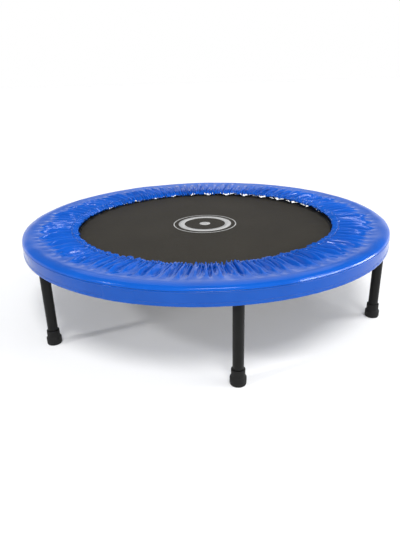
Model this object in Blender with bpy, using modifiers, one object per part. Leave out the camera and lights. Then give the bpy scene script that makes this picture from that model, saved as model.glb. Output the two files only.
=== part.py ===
"""Mini trampoline: a round steel frame on six screw-in legs, with a sprung mat and a skirted cover.

Metres, +Z up. The origin is on the floor, under the centre of the mat. One leg stands on -Y.
"""

import math

import bmesh
import bpy
from mathutils import Matrix, Vector

# Driving dimensions
RING_RADIUS = 0.4925  # centreline of the frame tube
RING_HEIGHT = 0.2215  # centre of the frame tube above the floor
TUBE_RADIUS = 0.0125  # frame tube and legs are the same 25 mm tube
RING_WALL = 0.0010
LEG_WALL = 0.0012
LEG_COUNT = 6
SPRING_COUNT = 36
SPRING_HEIGHT = 0.2200  # axis of the springs and middle of the mat, just under the tube's centre
MAT_RADIUS = 0.3860
MAT_THICKNESS = 0.0020
HEM_WIDTH = 0.0250
HEM_THICKNESS = 0.0015
COVER_RADIUS = 0.5138
COVER_TOP_HEIGHT = 0.2420
COVER_THICKNESS = 0.0015
CREASE_HEIGHT = 0.2325
SKIRT_BOTTOM = 0.1988
HOLE_RADIUS = 0.3670  # inner edge of the cover, over the mat
CASING_WIDTH = 0.0170  # rolled casing round that edge
CASING_BOTTOM = 0.2325
CASING_TOP = 0.2360
CASING_ROUNDING = 0.0015
SHOULDER_DROP = 0.0040  # of the cover's top between the hoop and its outer shoulder
SHOULDER_OVERHANG = 0.0055
SEAM_GAP = 0.0017  # between the top panel and the skirt
FOAM_INNER_RADIUS = 0.4700
FOAM_CLEARANCE = 0.0015  # between the foam and the tube that it wraps
FOAM_TOP_CLEARANCE = 0.0005  # between the foam and the cover
FOAM_SIDE_CLEARANCE = 0.0012
FOAM_SLOPE = 0.0020  # fall of the foam's top towards the mat
SPRING_BARREL_RADIUS = 0.00825
SPRING_BARREL_WALL = 0.0021
SPRING_INNER_END = 0.4140  # where the close-wound barrel starts, from the centre
SPRING_OUTER_END = 0.4645
HOOK_WIRE_RADIUS = 0.0012
HOOK_NECK = 0.0060  # from the barrel to where the wire reaches the spring's axis
INNER_HOOK_REACH = 0.0140
OUTER_HOOK_REACH = 0.0195  # through the hoop's wall
HOOK_TIP = 0.0020
HOOK_DROP = 0.0035
HOOK_HOLE_RADIUS = 0.0030
STUD_RADIUS = 0.0050
STUD_FLANGE_RADIUS = 0.0120
STUD_FLANGE_HEIGHT = 0.0030
STUD_LENGTH = 0.0310  # flange and thread together
LEG_BORE_RADIUS = 0.0056
LEG_PLUG_LENGTH = 0.0290
FOOT_HEIGHT = 0.0380
FOOT_FLOOR = 0.0075  # rubber under the end of the leg
FOOT_SLEEVE_RADIUS = 0.0155
FOOT_BASE_RADIUS = 0.0184
FOOT_BASE_HEIGHT = 0.0190
FOOT_CHAMFER = 0.0012
GAP = 0.0003  # between pieces that touch

RING_STEPS = 72
TUBE_SIDES = 8
POST_STEPS = 16
BARREL_SIDES = 8
HOLE_SIDES = 6
MERGE = 0.00001
FIRST_LEG_ANGLE = math.radians(-90)
LEG_PITCH = math.tau / LEG_COUNT
SPRING_PITCH = math.tau / SPRING_COUNT

STUD_TOP = RING_HEIGHT - TUBE_RADIUS - GAP
LEG_TOP = STUD_TOP - STUD_FLANGE_HEIGHT - GAP
LEG_BOTTOM = FOOT_FLOOR + GAP
MAT_BOTTOM = SPRING_HEIGHT - MAT_THICKNESS / 2


def clear_scene():
    for obj in list(bpy.data.objects):
        bpy.data.objects.remove(obj)


def make_collection(name):
    collection = bpy.data.collections.new(name)
    bpy.context.scene.collection.children.link(collection)
    return collection


def make_material(name, color, roughness, metallic=0.0):
    material = bpy.data.materials.new(name)
    material.use_nodes = True
    shader = material.node_tree.nodes["Principled BSDF"]
    shader.inputs["Base Color"].default_value = (*color, 1.0)
    shader.inputs["Roughness"].default_value = roughness
    shader.inputs["Metallic"].default_value = metallic
    return material


def link(name, data, collection, material):
    obj = bpy.data.objects.new(name, data)
    if material is not None and not data.materials:
        data.materials.append(material)
    collection.objects.link(obj)
    return obj


def link_cutter(name, data, collection):
    obj = link(name, data, collection, None)
    obj.hide_render = True
    obj.display_type = "WIRE"
    return obj


def profile_mesh(name, points, is_closed):
    """A line of (radius, height) points in the XZ plane, for a Screw modifier."""
    vertices = [(radius, 0.0, height) for radius, height in points]
    edges = [(index, index + 1) for index in range(len(points) - 1)]
    if is_closed:
        edges.append((len(points) - 1, 0))
    mesh = bpy.data.meshes.new(name)
    mesh.from_pydata(vertices, edges, [])
    return mesh


def add_screw(obj, steps):
    screw = obj.modifiers.new("turn", "SCREW")
    screw.axis = "Z"
    screw.angle = math.tau
    screw.steps = steps
    screw.render_steps = steps
    screw.use_merge_vertices = True
    screw.merge_threshold = MERGE
    return screw


def turned_solid(name, points, steps, collection, material):
    """A closed outline, clockwise with the radius to the right, turned about Z."""
    obj = link(name, profile_mesh(name, points, True), collection, material)
    add_screw(obj, steps)
    return obj


def turned_sheet(name, points, thickness, collection, material):
    """An open outline from its inner or upper end outwards and down, turned and made a shell."""
    obj = link(name, profile_mesh(name, points, False), collection, material)
    add_screw(obj, RING_STEPS)
    shell = obj.modifiers.new("shell", "SOLIDIFY")
    shell.thickness = thickness
    shell.offset = -1.0
    return obj


def add_boolean(obj, operation, other):
    boolean = obj.modifiers.new(operation.lower(), "BOOLEAN")
    boolean.operation = operation
    boolean.solver = "EXACT"
    boolean.object = other


def evaluated_mesh(obj, name):
    """The object's mesh with its modifiers applied and its loose caps welded."""
    graph = bpy.context.evaluated_depsgraph_get()
    mesh = bpy.data.meshes.new_from_object(obj.evaluated_get(graph), depsgraph=graph)
    mesh.name = name
    cage = bmesh.new()
    cage.from_mesh(mesh)
    bmesh.ops.remove_doubles(cage, verts=cage.verts, dist=MERGE)
    cage.to_mesh(mesh)
    cage.free()
    return mesh


def leg_angle(number):
    return FIRST_LEG_ANGLE + (number - 1) * LEG_PITCH


def spring_angle(number):
    """Springs sit either side of each leg, never over one."""
    return FIRST_LEG_ANGLE + (number - 0.5) * SPRING_PITCH


def ring_point(angle):
    return Vector((RING_RADIUS * math.cos(angle), RING_RADIUS * math.sin(angle), 0.0))


def make_frame_ring(parts, cutters, steel):
    """The hollow hoop, with a hook hole for each spring punched in its inner wall."""
    side = math.tau / TUBE_SIDES
    outline = []
    for index in range(TUBE_SIDES):
        angle = -(index + 0.5) * side
        radius = RING_RADIUS + TUBE_RADIUS * math.cos(angle)
        outline.append((radius, RING_HEIGHT + TUBE_RADIUS * math.sin(angle)))
    ring = turned_solid("frame_ring", outline, RING_STEPS, parts, steel)
    half_step = math.tau / RING_STEPS / 2
    ring.rotation_euler.z = half_step
    wall = ring.modifiers.new("wall", "SOLIDIFY")
    wall.thickness = RING_WALL
    wall.offset = -1.0

    punches = bmesh.new()
    depth = 0.8 * TUBE_RADIUS
    middle = RING_RADIUS - TUBE_RADIUS
    for number in range(1, SPRING_COUNT + 1):
        place = Matrix.Rotation(spring_angle(number), 4, "Z")
        place @= Matrix.Translation((middle, 0.0, SPRING_HEIGHT))
        place @= Matrix.Rotation(math.pi / 2, 4, "Y")
        bmesh.ops.create_cone(
            punches,
            cap_ends=True,
            segments=HOLE_SIDES,
            radius1=HOOK_HOLE_RADIUS,
            radius2=HOOK_HOLE_RADIUS,
            depth=depth,
            matrix=place,
        )
    mesh = bpy.data.meshes.new("hook_holes")
    punches.to_mesh(mesh)
    punches.free()
    add_boolean(ring, "DIFFERENCE", link_cutter("hook_holes", mesh, cutters))


def make_leg_studs(parts, steel):
    """A saddle flange and a threaded stud under the hoop at each leg."""
    top = STUD_TOP
    flange_bottom = top - STUD_FLANGE_HEIGHT
    bottom = top - STUD_LENGTH
    outline = [
        (0.0, top),
        (STUD_FLANGE_RADIUS, top),
        (STUD_FLANGE_RADIUS, flange_bottom),
        (STUD_RADIUS, flange_bottom),
        (STUD_RADIUS, bottom),
        (0.0, bottom),
    ]
    for number in range(1, LEG_COUNT + 1):
        mesh = profile_mesh("leg_stud", outline, False)
        stud = link(f"leg_stud_{number}", mesh, parts, steel)
        add_screw(stud, POST_STEPS)
        stud.location = ring_point(leg_angle(number))


def make_legs(parts, steel):
    """A straight tube with a bored plug in its top, which screws on to the stud."""
    plug_bottom = LEG_TOP - LEG_PLUG_LENGTH
    inside = TUBE_RADIUS - LEG_WALL
    outline = [
        (LEG_BORE_RADIUS, LEG_TOP),
        (TUBE_RADIUS, LEG_TOP),
        (TUBE_RADIUS, LEG_BOTTOM),
        (inside, LEG_BOTTOM),
        (inside, plug_bottom),
        (LEG_BORE_RADIUS, plug_bottom),
    ]
    for number in range(1, LEG_COUNT + 1):
        leg = turned_solid(f"leg_{number}", outline, POST_STEPS, parts, steel)
        leg.location = ring_point(leg_angle(number))


def make_feet(parts, rubber):
    """A rubber cup with a wide base and a sleeve round the end of the leg."""
    bore = TUBE_RADIUS + 2 * GAP
    outline = [
        (0.0, FOOT_FLOOR),
        (bore, FOOT_FLOOR),
        (bore, FOOT_HEIGHT),
        (FOOT_SLEEVE_RADIUS, FOOT_HEIGHT),
        (FOOT_SLEEVE_RADIUS, FOOT_BASE_HEIGHT),
        (FOOT_BASE_RADIUS, FOOT_BASE_HEIGHT - FOOT_CHAMFER),
        (FOOT_BASE_RADIUS, FOOT_CHAMFER),
        (FOOT_BASE_RADIUS - FOOT_CHAMFER, 0.0),
        (0.0, 0.0),
    ]
    for number in range(1, LEG_COUNT + 1):
        mesh = profile_mesh("foot", outline, False)
        foot = link(f"foot_{number}", mesh, parts, rubber)
        add_screw(foot, POST_STEPS)
        foot.location = ring_point(leg_angle(number))


def hook_object(name, points, cutters):
    """A bent wire through (radius, height above the spring's axis) points."""
    curve = bpy.data.curves.new(name, "CURVE")
    curve.dimensions = "3D"
    curve.bevel_depth = HOOK_WIRE_RADIUS
    curve.bevel_resolution = 0
    curve.use_fill_caps = True
    spline = curve.splines.new("POLY")
    spline.points.add(len(points) - 1)
    for point, (radius, height) in zip(spline.points, points):
        point.co = (radius, 0.0, height, 1.0)
    wire = bpy.data.objects.new(name, curve)
    cutters.objects.link(wire)
    hook = link_cutter(name, evaluated_mesh(wire, name), cutters)
    bpy.data.objects.remove(wire)
    return hook


def hook_points(end, direction, reach):
    """From inside the barrel's wall to the spring's axis, straight out along it, then bent down."""
    inside_wall = SPRING_BARREL_RADIUS - 0.8 * SPRING_BARREL_WALL
    return [
        (end - direction * SPRING_BARREL_WALL, inside_wall),
        (end + direction * HOOK_NECK / 2, inside_wall / 2),
        (end + direction * HOOK_NECK, 0.0),
        (end + direction * reach, 0.0),
        (end + direction * (reach + HOOK_TIP), -HOOK_DROP),
    ]


def make_spring_mesh(cutters, steel):
    """The close-wound barrel as an open tube, with the wire hook at each end joined on."""
    length = SPRING_OUTER_END - SPRING_INNER_END
    barrel_mesh = bpy.data.meshes.new("spring_barrel")
    cage = bmesh.new()
    turn = Matrix.Rotation(math.pi / BARREL_SIDES, 4, "X")
    lay_down = Matrix.Rotation(math.pi / 2, 4, "Y")
    bmesh.ops.create_cone(
        cage,
        cap_ends=False,
        segments=BARREL_SIDES,
        radius1=SPRING_BARREL_RADIUS,
        radius2=SPRING_BARREL_RADIUS,
        depth=length,
        matrix=Matrix.Translation((SPRING_INNER_END + length / 2, 0.0, 0.0)) @ turn @ lay_down,
    )
    cage.to_mesh(barrel_mesh)
    cage.free()
    barrel = link_cutter("spring_barrel", barrel_mesh, cutters)
    wall = barrel.modifiers.new("wall", "SOLIDIFY")
    wall.thickness = SPRING_BARREL_WALL
    wall.offset = -1.0

    add_boolean(
        barrel,
        "UNION",
        hook_object("inner_hook", hook_points(SPRING_INNER_END, -1, INNER_HOOK_REACH), cutters),
    )
    add_boolean(
        barrel,
        "UNION",
        hook_object("outer_hook", hook_points(SPRING_OUTER_END, 1, OUTER_HOOK_REACH), cutters),
    )
    mesh = evaluated_mesh(barrel, "spring")
    mesh.materials.clear()
    mesh.materials.append(steel)
    return mesh


def make_springs(parts, cutters, steel):
    mesh = make_spring_mesh(cutters, steel)
    for number in range(1, SPRING_COUNT + 1):
        spring = link(f"spring_{number:02d}", mesh, parts, steel)
        spring.location.z = SPRING_HEIGHT
        spring.rotation_euler.z = spring_angle(number)


def make_mat(parts, woven):
    bpy.ops.mesh.primitive_cylinder_add(
        vertices=RING_STEPS,
        radius=MAT_RADIUS,
        depth=MAT_THICKNESS,
        location=(0.0, 0.0, SPRING_HEIGHT),
    )
    mat = bpy.context.active_object
    mat.name = "mat"
    for collection in list(mat.users_collection):
        collection.objects.unlink(mat)
    parts.objects.link(mat)
    mat.data.materials.append(woven)


def make_mat_hem(parts, webbing):
    """The webbing band sewn under the edge of the mat, which holds the spring rings."""
    top = MAT_BOTTOM - GAP
    outline = [
        (MAT_RADIUS - HEM_WIDTH, top),
        (MAT_RADIUS, top),
        (MAT_RADIUS, top - HEM_THICKNESS),
        (MAT_RADIUS - HEM_WIDTH, top - HEM_THICKNESS),
    ]
    turned_solid("mat_hem", outline, RING_STEPS // 2, parts, webbing)


def make_cover(parts, vinyl):
    """The top panel, with its rolled inner casing, and the skirt band sewn to its outer edge."""
    casing_end = HOLE_RADIUS + CASING_WIDTH
    shoulder = (COVER_RADIUS - SHOULDER_OVERHANG, COVER_TOP_HEIGHT - SHOULDER_DROP)
    top_panel = [
        (casing_end - 3 * CASING_ROUNDING, CASING_BOTTOM),
        (HOLE_RADIUS, CASING_BOTTOM + CASING_ROUNDING),
        (HOLE_RADIUS + CASING_ROUNDING, CASING_TOP - CASING_ROUNDING),
        (casing_end, CASING_TOP),
        (RING_RADIUS - 2 * TUBE_RADIUS, COVER_TOP_HEIGHT - SHOULDER_DROP / 3),
        (RING_RADIUS, COVER_TOP_HEIGHT),
        shoulder,
        (COVER_RADIUS, CREASE_HEIGHT),
    ]
    turned_sheet("cover_top", top_panel, COVER_THICKNESS, parts, vinyl)
    skirt = [
        (COVER_RADIUS, CREASE_HEIGHT - SEAM_GAP),
        (COVER_RADIUS, SKIRT_BOTTOM),
    ]
    turned_sheet("cover_skirt", skirt, COVER_THICKNESS, parts, vinyl)


def make_foam_pad(parts, foam):
    """The foam strip over the top and outer side of the hoop, under the cover."""
    clear = TUBE_RADIUS + FOAM_CLEARANCE
    diagonal = clear * math.sin(math.pi / 4)
    under_cover = COVER_TOP_HEIGHT - COVER_THICKNESS - FOAM_TOP_CLEARANCE
    outer = COVER_RADIUS - COVER_THICKNESS - FOAM_SIDE_CLEARANCE
    outline = [
        (FOAM_INNER_RADIUS, under_cover - FOAM_SLOPE),
        (RING_RADIUS, under_cover),
        (outer - SHOULDER_OVERHANG, under_cover - SHOULDER_DROP),
        (outer, CREASE_HEIGHT - 2 * COVER_THICKNESS),
        (outer, RING_HEIGHT),
        (RING_RADIUS + clear, RING_HEIGHT),
        (RING_RADIUS + diagonal, RING_HEIGHT + diagonal),
        (RING_RADIUS, RING_HEIGHT + clear),
        (FOAM_INNER_RADIUS, RING_HEIGHT + clear - FOAM_SLOPE / 2),
    ]
    turned_solid("foam_pad", outline, RING_STEPS, parts, foam)


def main():
    clear_scene()
    parts = make_collection("mini_trampoline")
    cutters = make_collection("cutters")
    black_paint = make_material("black_paint", (0.020, 0.020, 0.020), 0.42)
    zinc_steel = make_material("zinc_steel", (0.45, 0.46, 0.48), 0.32, 1.0)
    rubber = make_material("black_rubber", (0.016, 0.016, 0.017), 0.75)
    woven = make_material("woven_mat", (0.070, 0.062, 0.056), 0.70)
    webbing = make_material("black_webbing", (0.018, 0.018, 0.019), 0.85)
    vinyl = make_material("blue_vinyl", (0.012, 0.095, 0.640), 0.30)
    foam = make_material("white_foam", (0.78, 0.78, 0.76), 0.90)

    make_frame_ring(parts, cutters, black_paint)
    make_leg_studs(parts, zinc_steel)
    make_legs(parts, black_paint)
    make_feet(parts, rubber)
    make_springs(parts, cutters, zinc_steel)
    make_mat(parts, woven)
    make_mat_hem(parts, webbing)
    make_cover(parts, vinyl)
    make_foam_pad(parts, foam)


main()
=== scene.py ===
"""Looks of the mini trampoline: gathered vinyl cover, woven mat, coil springs, legs and feet.

Metres, +Z up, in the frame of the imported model. Sizes start from the frame or from the names below.
"""

import math

import bpy
import numpy as np
from mathutils import Matrix, Vector


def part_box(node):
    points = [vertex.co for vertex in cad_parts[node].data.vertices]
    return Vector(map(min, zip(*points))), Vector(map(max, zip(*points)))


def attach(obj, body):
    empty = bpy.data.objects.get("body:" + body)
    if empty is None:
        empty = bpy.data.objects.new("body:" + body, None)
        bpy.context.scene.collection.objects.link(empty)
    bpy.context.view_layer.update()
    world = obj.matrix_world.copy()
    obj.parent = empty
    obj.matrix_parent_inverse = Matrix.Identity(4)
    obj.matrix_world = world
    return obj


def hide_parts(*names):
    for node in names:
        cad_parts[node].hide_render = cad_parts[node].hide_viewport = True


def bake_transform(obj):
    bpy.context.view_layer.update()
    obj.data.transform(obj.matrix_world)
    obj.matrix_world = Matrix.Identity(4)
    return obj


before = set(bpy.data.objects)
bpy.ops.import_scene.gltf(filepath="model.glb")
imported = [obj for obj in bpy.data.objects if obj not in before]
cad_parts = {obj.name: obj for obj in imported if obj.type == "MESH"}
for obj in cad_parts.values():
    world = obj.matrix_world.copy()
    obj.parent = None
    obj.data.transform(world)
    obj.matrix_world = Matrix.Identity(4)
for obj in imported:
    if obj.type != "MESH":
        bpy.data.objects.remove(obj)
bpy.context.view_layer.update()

LEG_COUNT = 6
SPRING_COUNT = 36
FIRST_ANGLE = -math.pi / 2

# From the frame
ring_low, ring_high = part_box("frame_ring")
leg_low, leg_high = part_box("leg_1")
foot_low, foot_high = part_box("foot_1")
stud_low, stud_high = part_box("leg_stud_1")
mat_low, mat_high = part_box("mat")
cover_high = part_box("cover_top")[1]
skirt_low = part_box("cover_skirt")[0]

RING_HEIGHT = (ring_low.z + ring_high.z) / 2
RING_RADIUS = -(leg_low.y + leg_high.y) / 2
TUBE_RADIUS = (leg_high.x - leg_low.x) / 2
COVER_RADIUS = cover_high.x
RIM_TOP = cover_high.z
SKIRT_BOTTOM = skirt_low.z
MAT_RADIUS = mat_high.x
MAT_MIDDLE = (mat_low.z + mat_high.z) / 2

# The cover's top panel, from the sewn crease inwards
CREASE_HEIGHT = 0.2325
SEW_LINE = CREASE_HEIGHT - 0.0009
RIM_ROWS = 14
RIM_FALL = 0.0003  # of the rim's top before the folds start
RIM_DENTS = 0.0005
FOLD_START = 0.4860
FOLD_ROWS = 30
FOLD_HEIGHT = 0.0050
PLEATS = 285  # at the elastic
PULL_ASKEW = 0.018  # most turn of the elastic against the rim, in radians
CUT_RADIUS = 0.5100  # the flat strip's length over a full turn
SETTLE_FRAMES = 18  # of the cloth simulation
MOST_MOVE = 0.006  # of any point in the simulation
ROUND_STEPS = 2160
VINYL = 0.0006  # thickness
FOAM_INNER = 0.4700  # the foam strip's inner radius

# The casing round the cover's hole, and its elastic
CASING_OUTER = 0.3840
HOLE_RADIUS = 0.3670
CASING_BOTTOM = 0.2325
CASING_TOP = 0.2362
SEAM_HEIGHT = 0.2358  # where the folds meet the casing
CASING_ROWS = 20
RUFFLE = 0.0020  # height of the casing's ruffles
CASING_GROOVE = 0.0026  # depth of the seam's groove
HANG_LOW = 0.0080  # how much lower the hole's edge hangs at the far left
HANG_AZIMUTH = math.radians(115.0)

# The skirt
SKIRT_ROWS = 18
HEM_ROWS = 6
HEM_STITCH = 0.78  # share of the skirt's drop at which the hem is sewn
HEM_INSIDE = 0.0030  # from the hem's outer face to its turned-up edge
HEM_RISE = 0.0110
STITCH_SINK = 0.0003  # how deep the hem's stitches draw the vinyl in
SEAM_AZIMUTH = math.radians(-118.0)  # middle of the skirt's lapped ends
SEAM_HALF = math.radians(4.0)

# Springs and mat
SPRING_INNER_END = 0.4140
SPRING_OUTER_END = 0.4645
SPRING_RADIUS = 0.00825
SPRING_WIRE = 0.00125
HOOK_LENGTH = 0.0080  # from the last turn to where the hook lies on the spring's axis
SPRING_TOP = MAT_MIDDLE + SPRING_RADIUS
RING_WIRE_RADIUS = 0.0021
RING_BASE = 0.0600  # a wire ring's side in the hem
RING_LIFT = 0.0030  # how much higher the mat's edge is at a ring than between two
MAT_TOP = MAT_MIDDLE + 0.0006
MAT_THICKNESS = 0.0009
MAT_SAG = 0.0010  # at its middle
TAPE_PITCH = 0.0013  # of the mat's weave
HEM_WIDTH = 0.0250
SCALLOP = 0.0018  # half the depth of the mat's edge between two rings
PULL_START = 0.30  # radius from which the mat follows the rings
PRINT_THICKNESS = 0.0002

# Hoop, legs and feet
HOOP_WALL = 0.0012
HOOK_HOLE_CORNERS = 16
THREAD_PITCH = 0.0015
ROWS_PER_PITCH = 5
THREAD_ROOT = 0.0042  # radius
THREAD_DEPTH = 0.0008
LEG_BORE = 0.0056
LEG_WALL = 0.0014
PLUG_LENGTH = 0.0290
SLEEVE_RADIUS = 0.0155
SOCKET_BOTTOM = 0.0075

# The camera
CAMERA_LENS = 31.446
CAMERA_DISTANCE = 1.3380
CAMERA_HEIGHT = 0.6104
CAMERA_AZIMUTH = math.radians(-97.6)
CAMERA_TILT = math.radians(21.55)
CAMERA_PAN = math.radians(0.755)
CAMERA_ROLL = math.radians(-1.473)

FLOOR_SIZE = 400.0


def random_wave(theta, lowest, highest, seed):
    """A smooth random function round the ring, about -1 to 1, made of whole waves."""
    draw = np.random.default_rng(seed)
    total = np.zeros_like(theta)
    for count in range(lowest, highest + 1):
        total += draw.normal() * np.cos(count * theta + draw.uniform(0, math.tau))
    return total / (1.4 * math.sqrt(highest - lowest + 1))


def smoothstep(low, high, value):
    """0 up to low and 1 from high on, smooth between the two."""
    t = np.clip((value - low) / (high - low), 0.0, 1.0)
    return t * t * (3 - 2 * t)


def mesh_object(name, points, faces, material):
    """A smooth-shaded object from points in rows or in one list; material may be a list too."""
    mesh = bpy.data.meshes.new(name)
    mesh.from_pydata(np.reshape(points, (-1, 3)).tolist(), [], faces)
    mesh.validate()
    mesh.shade_smooth()
    obj = bpy.data.objects.new(name, mesh)
    bpy.context.scene.collection.objects.link(obj)
    for item in material if isinstance(material, (list, tuple)) else [material]:
        mesh.materials.append(item)
    return obj


def round_angles(steps):
    return np.linspace(0, math.tau, steps, endpoint=False)


def grid_faces(rows, steps, close_rows=False):
    """Quads of a sheet that closes round the ring; row numbers grow outwards and then downwards."""
    faces = []
    for row in range(rows if close_rows else rows - 1):
        near, far = row * steps, (row + 1) % rows * steps
        for step in range(steps):
            after = (step + 1) % steps
            faces.append((near + step, far + step, far + after, near + after))
    return faces


def cap_faces(rows, steps):
    """One face over the first row and one over the last."""
    return [tuple(range(steps)), tuple(reversed(range((rows - 1) * steps, rows * steps)))]


def ring_grid(radius, height, theta):
    """Points at the angles theta; radius and height are numbers, or arrays that fit theta."""
    return np.stack([radius * np.cos(theta), radius * np.sin(theta), height + 0 * theta], axis=-1)


def turned(name, profile, steps, material, centre=(0.0, 0.0)):
    """A closed profile of (radius, height), from the top inner point out and down, turned about Z."""
    profile = np.array(profile)
    points = ring_grid(profile[:, :1], profile[:, 1:], round_angles(steps))
    points[..., 0] += centre[0]
    points[..., 1] += centre[1]
    return mesh_object(name, points, grid_faces(len(profile), steps, True), material)


def tube_along(path, radius, sides, closed=False):
    """Points and faces of a round wire along a path, its frame carried along without twist."""
    path = np.array(path, float)
    count = len(path)
    if closed:
        tangent = np.roll(path, -1, 0) - np.roll(path, 1, 0)
    else:
        tangent = np.gradient(path, axis=0)
    tangent /= np.linalg.norm(tangent, axis=1)[:, None]
    side = np.cross(tangent[0], (0.0, 0.0, 1.0))
    if np.linalg.norm(side) < 0.1:
        side = np.cross(tangent[0], (0.0, 1.0, 0.0))
    side /= np.linalg.norm(side)
    points = []
    angles = round_angles(sides)
    for index in range(count):
        side = side - tangent[index] * side.dot(tangent[index])
        side /= np.linalg.norm(side)
        other = np.cross(tangent[index], side)
        ring = np.cos(angles)[:, None] * side + np.sin(angles)[:, None] * other
        points.append(path[index] + radius * ring)
    points = np.concatenate(points)
    faces = []
    for index in range(count if closed else count - 1):
        near, far = index * sides, (index + 1) % count * sides
        for turn in range(sides):
            after = (turn + 1) % sides
            faces.append((near + turn, near + after, far + after, far + turn))
    if not closed:
        faces.append(tuple(reversed(range(sides))))
        faces.append(tuple(range((count - 1) * sides, count * sides)))
    return points, faces


def turned_about_z(points, angle):
    """Copies of points (index, xyz), turned about the trampoline's axis."""
    c, s = math.cos(angle), math.sin(angle)
    x = points[:, 0] * c - points[:, 1] * s
    y = points[:, 0] * s + points[:, 1] * c
    return np.stack([x, y, points[:, 2]], axis=1)


def joined(parts):
    """Points and faces of several (points, faces) put together."""
    all_points, all_faces, first = [], [], 0
    for points, faces in parts:
        all_points.append(points)
        all_faces += [tuple(first + corner for corner in face) for face in faces]
        first += len(points)
    return np.concatenate(all_points), all_faces


# ---------------------------------------------------------------- materials


def mixed_colors(tree, factor, first, second):
    """Output of a node that mixes two colours, each a tuple or an output."""
    made = tree.nodes.new("ShaderNodeMix")
    made.data_type = "RGBA"
    for socket, value in ((6, first), (7, second)):
        if isinstance(value, tuple):
            made.inputs[socket].default_value = (*value, 1.0)
        else:
            tree.links.new(value, made.inputs[socket])
    tree.links.new(factor, made.inputs[0])
    return made.outputs[2]


class Nodes:
    """Short way to build a Principled material from procedural nodes."""

    def __init__(self, name, color, roughness, metallic=0.0):
        self.material = bpy.data.materials.new(name)
        self.material.use_nodes = True
        self.tree = self.material.node_tree
        self.shader = self.tree.nodes["Principled BSDF"]
        self.place = self.node("ShaderNodeTexCoord").outputs["Object"]
        self.set("Base Color", (*color, 1.0))
        self.set("Roughness", roughness)
        self.set("Metallic", metallic)

    def set(self, socket, value):
        self.shader.inputs[socket].default_value = value

    def node(self, kind):
        return self.tree.nodes.new(kind)

    def link(self, output, target):
        self.tree.links.new(output, target)

    def noise(self, scale, detail):
        made = self.node("ShaderNodeTexNoise")
        made.inputs["Scale"].default_value = scale
        made.inputs["Detail"].default_value = detail
        self.link(self.place, made.inputs["Vector"])
        return made.outputs["Fac"]

    def spread(self, value, low, high):
        """Maps noise, which is mostly 0.3 to 0.7, to low..high."""
        made = self.node("ShaderNodeMapRange")
        made.inputs["From Min"].default_value = 0.3
        made.inputs["From Max"].default_value = 0.7
        made.inputs["To Min"].default_value = low
        made.inputs["To Max"].default_value = high
        self.link(value, made.inputs["Value"])
        return made.outputs["Result"]

    def math(self, operation, first, second):
        made = self.node("ShaderNodeMath")
        made.operation = operation
        for socket, value in enumerate((first, second)):
            if isinstance(value, (int, float)):
                made.inputs[socket].default_value = value
            else:
                self.link(value, made.inputs[socket])
        return made.outputs[0]

    def weave(self, pitch):
        """Height of a plain weave of flat tapes, from two crossed waves."""
        split = self.node("ShaderNodeSeparateXYZ")
        self.link(self.place, split.inputs[0])
        waves = []
        for axis in (0, 1):
            turns = self.math("MULTIPLY", split.outputs[axis], math.pi / pitch)
            waves.append(self.math("SINE", turns, 0.0))
        return self.math("ABSOLUTE", self.math("MULTIPLY", waves[0], waves[1]), 0.0)

    def color(self, factor, first, second):
        mixed = mixed_colors(self.tree, factor, first, second)
        self.link(mixed, self.shader.inputs["Base Color"])

    def cloudy_color(self, noise, first, second):
        self.color(self.spread(noise, 0.0, 1.0), first, second)

    def roughness(self, noise, low, high):
        self.link(self.spread(noise, low, high), self.shader.inputs["Roughness"])

    def bump(self, height, strength, distance):
        made = self.node("ShaderNodeBump")
        made.inputs["Strength"].default_value = strength
        made.inputs["Distance"].default_value = distance
        self.link(height, made.inputs["Height"])
        self.link(made.outputs["Normal"], self.shader.inputs["Normal"])


def vinyl_material(name, shade):
    """Glossy coated vinyl: fine calendered grain, cloudy tint and scuffed gloss; a shade below 1 darkens
    the whole colour as painted shade.
    """
    deep = tuple(shade * channel for channel in (0.002, 0.084, 0.460))
    pale = tuple(shade * channel for channel in (0.004, 0.104, 0.540))
    made = Nodes(name, pale, 0.20)
    made.cloudy_color(made.noise(9.0, 4.0), deep, pale)
    made.roughness(made.noise(60.0, 5.0), 0.09, 0.20)
    made.set("IOR", 1.50)
    made.set("Specular IOR Level", 0.25)
    made.bump(made.noise(1400.0, 2.0), 0.06, 0.0003)
    return made.material


def backing_material():
    """Matt woven backing of the vinyl, seen from below."""
    made = Nodes("vinyl_backing", (0.010, 0.085, 0.380), 0.75)
    made.cloudy_color(made.noise(14.0, 3.0), (0.010, 0.075, 0.340), (0.016, 0.105, 0.440))
    made.bump(made.noise(1800.0, 2.0), 0.25, 0.0004)
    return made.material


def mat_material():
    """Woven polypropylene: dark warm grey flat tapes with a slight sheen and dusty tone, and painted
    shade where the tapes dip.
    """
    made = Nodes("woven_mat", (0.070, 0.062, 0.055), 0.62)
    made.set("Specular IOR Level", 0.12)
    height = made.weave(TAPE_PITCH)
    dust = made.noise(6.0, 5.0)
    speck = made.noise(700.0, 2.0)
    tone = made.math("MULTIPLY", made.spread(dust, 0.85, 1.15), made.spread(speck, 0.80, 1.20))
    # painted shade: the tapes are darker where they dip; dust and specks are the mat's own tone
    tone = made.math("MULTIPLY", tone, made.math("ADD", made.math("MULTIPLY", height, 0.5), 0.75))
    tone = made.math("SUBTRACT", tone, 0.5)
    made.color(tone, (0.0196, 0.0170, 0.0124), (0.0408, 0.0356, 0.0264))
    made.roughness(speck, 0.52, 0.72)
    made.bump(height, 0.6, 0.0003)
    return made.material


def webbing_material():
    """Black webbing, a finer weave than the mat's, its colour darker in the weave's dips as painted
    shade.
    """
    made = Nodes("black_webbing", (0.018, 0.018, 0.019), 0.80)
    height = made.weave(0.0009)
    # painted shade: darker where the weave dips
    made.color(height, (0.0045, 0.0045, 0.0045), (0.0110, 0.0110, 0.0108))
    made.bump(height, 0.8, 0.0004)
    made.set("Specular IOR Level", 0.15)
    return made.material


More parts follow.
